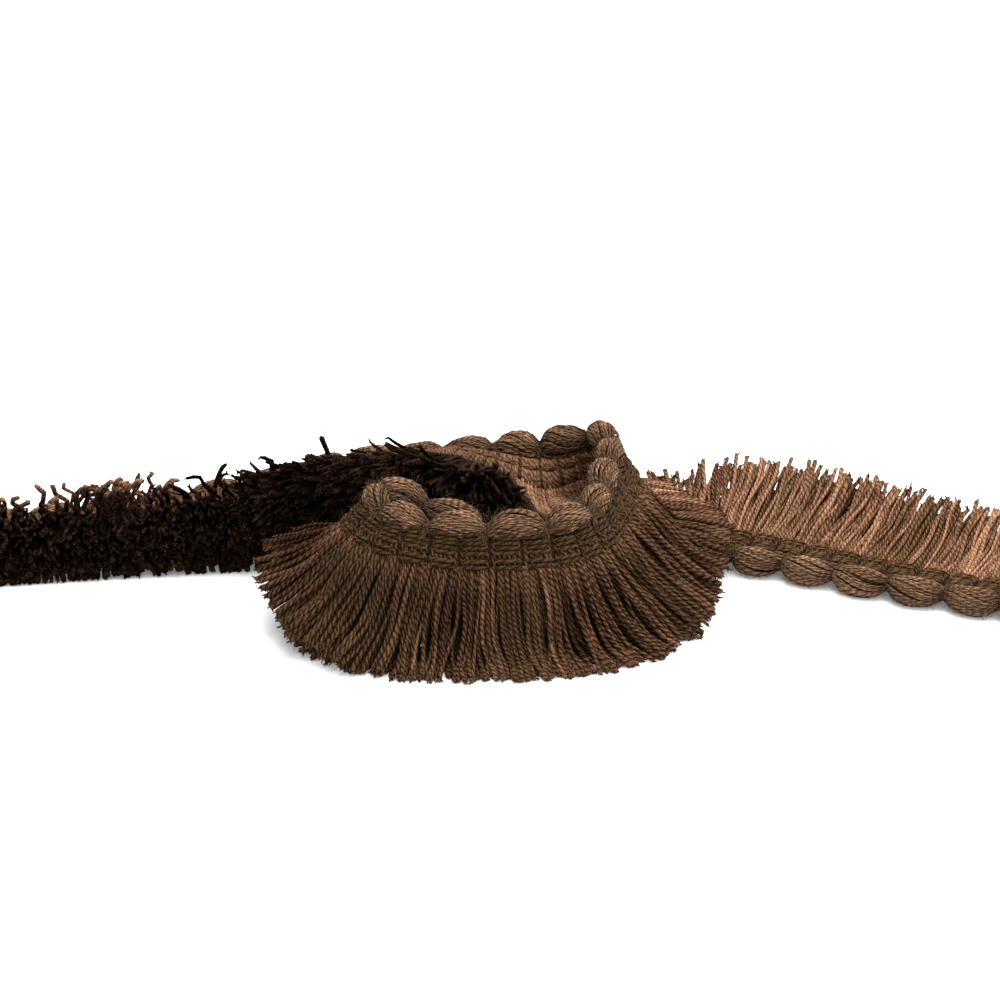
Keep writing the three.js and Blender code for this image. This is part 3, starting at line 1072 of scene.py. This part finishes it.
        # Painted shade over the pile at the left, seen on its cut ends, kept off some brown curls on it
        bare = smooth(0.0, 0.5, roots.curl) * smooth(*BROWN_CURLS, row) * rng.uniform(0.3, 1.0, n)
        pile = smooth(*DARK_PILE, row + rng.normal(0, 0.08, n)) * (1 - bare)
        early = 0.75 * smooth(*DARK_ROOTS, row)[:, None]
        dark = pile[:, None] * smooth(-0.25, 0.45, share + early) * rng.uniform(0.88, 1.0, (n, 1))
        # Painted shade on the cut ends, except round the front
        dark = np.maximum(dark, 0.35 * smooth(0.93, 1.0, share) * (1 - skirt[:, None]))
        # Painted shade on yarns that others cover and over the skirt round the front, lighter near the
        # roots and the tips
        covered = np.maximum(crease, 0.85 * smooth(0.75, 0.35, layer))
        deep = 0.2 * (1 - skirt) * crease + skirt * np.maximum(rng.uniform(0.33, 0.66, n), covered)
        ends = 0.5 * share**3 + 0.55 * smooth(0.3, 0.0, share)
        dark = np.maximum(dark, deep[:, None] * (1 - ends))
        # Painted shade on the inner side at the back of the loop, and over its lower half where the trim
        # turns over
        wall = window(*WALL_ROWS, row)
        dark = np.maximum(dark, (0.38 * wall * window(-0.86, -0.7, 0.3, 0.6, layer))[:, None])
        veil = share - (0.85 - 0.75 * (row - 20.9))[:, None]
        turned = 0.92 * window(*TURNED_ROWS, row)[:, None]
        dark = np.maximum(dark, turned * smooth(0.0, 0.3, veil))
        return tone, hue * (1 - 0.9 * wall), dark, pile

    def _tufts(
        self, bundle: YarnBundle, lines: np.ndarray, along: np.ndarray, look: tuple[np.ndarray, ...],
        rng: Rng,
    ) -> None:
        """Opens the cut end of each yarn into two finer ends.

        Args:
            bundle: The yarns, to which the ends are added.
            lines: Middle lines of the yarns.
            along: A direction across each yarn.
            look: Tone, hue and painted shade of each yarn.
            rng: Random numbers.
        """
        bundle.sides = 3
        n = len(lines)
        heading = unit(lines[:, -1] - lines[:, -2])
        for _ in range(2):
            splay = unit(heading + rng.normal(0, 0.55, (n, 3)))
            start = lines[:, -1] - heading * 0.25 + rng.normal(0, 0.12, (n, 3))
            end = start + splay * rng.uniform(0.4, 1.0, (n, 1))
            end[:, 2] = np.maximum(end[:, 2], 0.16)
            start[:, 2] = np.maximum(start[:, 2], 0.27)
            pair = np.stack([start, end], axis=1)
            size = np.stack([rng.uniform(0.17, 0.27, n), rng.uniform(0.06, 0.16, n)], axis=1)
            tone = np.clip(look[0] + rng.normal(0, 0.1, n), 0.05, 1)
            bundle.add(
                pair, size, along[:, None, :], tone, look[1], 1.2, rng.uniform(0, 1, n), look[2][:, None]
            )

    def _fuzz(
        self, bundle: YarnBundle, lines: np.ndarray, layer: np.ndarray, dark: np.ndarray, rng: Rng
    ) -> None:
        """Adds fine fibres that stand off the outer yarns and off the cut ends.

        Args:
            bundle: The yarns, to which the fibres are added.
            lines: Middle lines of the yarns.
            layer: Place of each yarn through the brush, from -1 to 1.
            dark: Painted shade of each yarn at each of its points.
            rng: Random numbers.
        """
        n = int(len(lines) * self.fuzz)
        pick = rng.integers(0, len(lines), n)
        inside = np.abs(layer[pick]) < 0.75
        share = np.where(inside, rng.uniform(0.9, 1, n), rng.uniform(0.05, 1, n)) * 0.999
        i = np.floor(share * self.segments).astype(int)
        w = (share * self.segments - i)[:, None]
        root = lines[pick, i] * (1 - w) + lines[pick, i + 1] * w
        heading = unit(lines[pick, i + 1] - lines[pick, i])
        wander = unit(rng.normal(0, 1, (n, 3)))
        curl = unit(rng.normal(0, 1, (n, 3)))
        reach = rng.uniform(0.7, 2.2, n)[:, None, None]
        t = np.linspace(0, 1, 4)[None, :, None]
        line = root[:, None] + reach * (
            0.6 * t * heading[:, None] + 0.6 * np.sin(2 * t) * wander[:, None]
            + 0.3 * t * np.sin(3 * t) * curl[:, None]
        )
        line[..., 2] = np.maximum(line[..., 2], 0.05)
        size = self.fuzz_radius * (1.1 - 0.6 * t[..., 0]) * np.ones((n, 1))
        bundle.add(
            line, size, np.cross(wander, heading)[:, None, :], rng.uniform(0.7, 1.1, n),
            rng.uniform(0, 1, n), 3.0, 0.0, dark[pick, i][:, None],
        )

    def _march(self, roots: Roots, rng: Rng) -> tuple[np.ndarray, Frames]:
        """Middle lines of the yarns: out of the band, spreading, and along what they lie on.

        Args:
            roots: Where the yarns are rooted.
            rng: Random numbers.

        Returns:
            The lines in millimetres, and the frames at the roots.
        """
        sizes = self.lay.sizes
        frames = self.lay.frames_at(roots.length, 0.05)
        habit = self._habit(roots, np.where(frames.lean < 0, -1.0, 1.0), rng)
        points = [frames.place(sizes.band_bottom - self.root_in_band, roots.layer * 0.72)]
        step = habit.whole / self.segments
        for i in range(self.segments):
            heading = habit.heading(i, (i + 0.5) / self.segments, frames, sizes)
            reached = (i + 1) / self.segments
            points.append(self._settle(points[-1], heading, step, frames, habit.height, reached))
        return np.stack(points, axis=1), frames

    def _habit(self, roots: Roots, upward: np.ndarray, rng: Rng) -> Habit:
        """Draws how the yarns grow: alike within a bunch, calm at the bottom of the pile.

        Args:
            roots: Where the yarns are rooted.
            upward: 1 where the layers lie face up, -1 where they lie face down.
            rng: Random numbers.

        Returns:
            The yarns' habits.
        """
        row, layer, curl = roots.row, roots.layer, roots.curl
        n = len(row)
        brush_length = self.lay.sizes.brush_length
        stray = rng.uniform(0, 1, n) < self.strays
        height = (layer * upward + 1) / 2
        pile = smooth(*FLAT_PILE, row)
        loose = 1 - 0.85 * pile * (1 - height)
        bunch = np.floor(roots.length / self.bunch + self.slant * layer)
        level = np.floor(layer * 2.2)
        uneven = rng.normal(0, 0.4, n) + 0.45 * np.sin(bunch * 9.17)
        whole = brush_length + self.root_in_band + uneven * loose
        centre = (bunch + 0.5 - self.slant * layer) * self.bunch
        gather = np.clip(centre - roots.length, -2, 2) * 0.45 / brush_length
        gather = gather * (1 - 0.8 * smooth(0.3, -0.3, layer)) * (1 - 0.85 * pile)
        sway = 0.05 * np.sin(bunch * 5.77 + level * 2.1) + rng.normal(0, 0.03, n)
        sway = sway - 0.5 * near(row, 22.1, 0.5)
        sway = np.where(stray, sway + rng.normal(0, 0.12, n), sway)
        extra = rng.normal(0, 0.045, n) + 0.05 * np.sin(bunch * 3.31 + 1.7 * level)
        extra = np.where(stray, extra + rng.normal(0, 0.13, n), extra)
        whole = whole * (1 - 0.21 * near(row, 12.0, 0.8)) * (1 - 0.45 * curl)
        whole = whole * (1 - 0.28 * (smooth(-0.4, -0.85, layer) * near(row, 24.3, 1.1)))
        raised = LEFT_BEND.at(row, layer)
        sway = (sway - 0.6 * raised) * (0.2 + 0.8 * loose)
        for each in BENDS:
            raised = raised + each.at(row, layer)
        bend = rng.normal(0, 0.09, n) * loose
        waves = np.sin(np.array([[2.3], [4.1]]) * bunch) * 3 + rng.normal(0, 0.7, (2, n))
        rate = rng.uniform(0.75, 1.15, n)
        amount = rng.uniform(0.05, 0.16, n) * (0.1 + 0.9 * loose)
        kink = rng.uniform(0, 6, n)
        knotted = curl * (0.15 + 0.7 * smooth(27.2, 27.7, row))
        way = np.where(rng.uniform(0, 1, n) < 0.65, -1.0, 1.0) * rng.uniform(0.2, 1.2, n)
        return Habit(
            roots, height, pile, whole, raised, extra, sway, gather, bend, waves, rate, amount, knotted,
            kink, way,
        )

    def _settle(
        self, start: np.ndarray, heading: np.ndarray, step: np.ndarray, frames: Frames,
        height: np.ndarray, share: float,
    ) -> np.ndarray:
        """The next points of the yarns, held up by what they lie on.

        Args:
            start: Where the yarns are now.
            heading: Where they point.
            step: How far they go.
            frames: The frames at their roots.
            height: Place of each yarn in the stack, from 0 at its bottom to 1.
            share: Share of the yarns' length that the next points are at.

        Returns:
            The next points.
        """
        sizes = self.lay.sizes
        swing = share * (sizes.root_share + (sizes.tip_share - sizes.root_share) * share / 2)
        spacing = sizes.layer_spacing + sizes.brush_length * np.sin(frames.fan) * swing
        lock = np.minimum(spacing - sizes.lock_gap, frames.thick)
        stack = 3 * lock + 2 * sizes.lock_gap - 2 * self.yarn_radius
        standing = smooth(75, 50, np.abs(frames.lean))
        drape = 1 - standing * share**1.3
        flat_pile = frames.lean < -85
        held = np.where(flat_pile, 0.2 + 0.8 * height, 1.0)
        height = np.where(flat_pile, height**1.6, height)
        low = frames.rest * held + self.yarn_radius * 1.15 + np.maximum(stack, 0) * height * drape
        following = start + heading * step[:, None]
        drop = np.clip(start[:, 2] - low, -0.45 * step, 0.97 * step)
        level = heading.copy()
        level[:, 2] = 0
        flat = np.linalg.norm(level, axis=1)
        sign = np.where(frames.lean < 0, -1.0, 1.0)[:, None]
        level = unit(level + frames.side * sign * np.maximum(0.35 - flat, 0)[:, None])
        run = np.sqrt(np.maximum(step**2 - drop**2, 0))
        settled = start + level * run[:, None]
        settled[:, 2] = start[:, 2] - drop
        return np.where((following[:, 2] < low)[:, None], settled, following)


# Loose fibres
@dataclass
class LooseFibres:
    """Fine fibres that stand off the edging and the band."""

    lay: Lay
    count: int = 5600
    radius: float = 0.025

    def build(self) -> bpy.types.Object:
        """Makes the fibres as one piece.

        Returns:
            The piece.
        """
        rng = np.random.default_rng(SEED + 90)
        n = self.count
        length = rng.uniform(1, self.lay.total - 1, n)
        frames = self.lay.frames_at(length)
        ties = self.lay.ties
        swell = np.sin(np.pi * (np.interp(length, ties, np.arange(len(ties))) % 1.0)) ** 0.62
        on_edge = rng.uniform(0, 1, n) < 0.72
        angle = rng.uniform(np.pi * 0.75, np.pi * 2.25, n)
        radius = 0.7 + 1.9 * swell
        around = radius * np.sin(angle) + SINK * self.lay.sink(length)
        depth = np.where(on_edge, around, rng.uniform(3, 9, n))
        face = rng.choice([-1.0, 1.0], n)
        out = np.where(on_edge, radius * np.cos(angle), face * 1.3)
        away = unit(np.where(on_edge[:, None], frames.around(angle), frames.face * face[:, None]))
        root = frames.place(depth, out)
        wander = unit(rng.normal(0, 1, (n, 3)))
        curl = unit(rng.normal(0, 1, (n, 3)))
        reach = rng.uniform(0.7, 2.3, n)[:, None]
        t = np.linspace(0, 1, 4)
        line = (
            root[:, None] + away[:, None] * (0.32 * reach * np.sin(t * 2.4))[..., None]
            + wander[:, None] * (0.75 * reach * t)[..., None]
            + curl[:, None] * (0.3 * reach * np.sin(t * 3.0) * t)[..., None]
        )
        line[..., 2] = np.maximum(line[..., 2], 0.05)
        bundle = YarnBundle(sides=3)
        size = self.radius * (1.1 - 0.7 * t) * np.ones((n, 1))
        reference = np.cross(wander, away)[:, None]
        bundle.add(line, size, reference, rng.uniform(0.2, 0.9, n), rng.uniform(0, 1, n), 3.0)
        piece = bundle.build("loose_fibres", FUZZ.material())
        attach(piece, "root")
        return piece


# The studio
@dataclass
class Studio:
    """Camera, pale floor and soft light."""

    sizes: TrimSizes
    distance: float = 0.450
    elevation: float = 18.0
    lens: float = 90.7
    aim_height: float = 0.014

    def camera(self) -> None:
        """Places the camera at the photo's viewing angle."""
        data = bpy.data.cameras.new("camera")
        data.lens = self.lens
        data.sensor_width = 36.0
        data.clip_start = 0.01
        camera = bpy.data.objects.new("camera", data)
        aim = Vector((self.sizes.shift_x * MM, self.sizes.shift_y * MM, self.aim_height))
        tilt = math.radians(self.elevation)
        back = Vector((0.0, -math.cos(tilt), math.sin(tilt)))
        camera.location = aim + back * self.distance
        camera.rotation_euler = (math.pi / 2 - tilt, 0.0, 0.0)
        bpy.context.scene.collection.objects.link(camera)
        bpy.context.scene.camera = camera

    def floor(self) -> None:
        """Lays a plain pale floor under the trim."""
        bpy.ops.object.select_all(action="DESELECT")
        bpy.ops.mesh.primitive_plane_add(size=8.0, location=(0, 0, 0))
        floor = bpy.context.object
        floor.name = "floor"
        pale = bpy.data.materials.new("floor_pale")
        pale.use_nodes = True
        shader = pale.node_tree.nodes["Principled BSDF"]
        for name, value in (
            ("Base Color", (0.86, 0.87, 0.87, 1)), ("Roughness", 0.55), ("Specular IOR Level", 0.2),
            ("Emission Color", (1, 1, 1, 1)), ("Emission Strength", 0.15),
        ):
            shader.inputs[name].default_value = value
        floor.data.materials.append(pale)

    def light(self) -> None:
        """Sets soft light from above and a little behind, with weaker ones at the right and in front."""
        world = bpy.data.worlds.new("studio")
        world.use_nodes = True
        sky = world.node_tree.nodes["Background"]
        sky.inputs["Color"].default_value = (0.97, 0.985, 1.0, 1)
        sky.inputs["Strength"].default_value = 0.65
        bpy.context.scene.world = world
        lamps = (
            ("light_top", (0.08, 0.14, 0.85), 0.90, 15.0),
            ("light_right", (0.70, 0.05, 0.40), 0.50, 4.0),
            ("light_front", (0.10, -0.80, 0.60), 0.60, 4.5),
        )
        for name, place, size, power in lamps:
            data = bpy.data.lights.new(name, "AREA")
            data.size = size
            data.energy = power
            lamp = bpy.data.objects.new(name, data)
            lamp.location = place
            lamp.rotation_euler = (Vector((0, 0, 0.01)) - Vector(place)).to_track_quat("-Z", "Y").to_euler()
            bpy.context.scene.collection.objects.link(lamp)
        bpy.context.scene.view_settings.view_transform = "Standard"

    def build(self) -> None:
        """Sets up the whole studio."""
        self.camera()
        self.floor()
        self.light()


def main() -> None:
    """Builds the studio and dresses the frame, sub-assembly by sub-assembly."""
    logging.basicConfig(level=logging.INFO, format="%(name)s: %(message)s")
    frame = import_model()
    log.info("frame loaded: %s", type(frame).__name__)
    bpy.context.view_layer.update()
    lay = Lay()
    Studio(lay.sizes).build()
    pieces = Heading(lay).build()
    pieces += Edging(lay).build()
    pieces += Brush(lay).build()
    pieces.append(LooseFibres(lay).build())
    for piece in pieces:
        log.info("%s: %d faces", piece.name, len(piece.data.polygons))


if __name__ == "__main__":
    main()
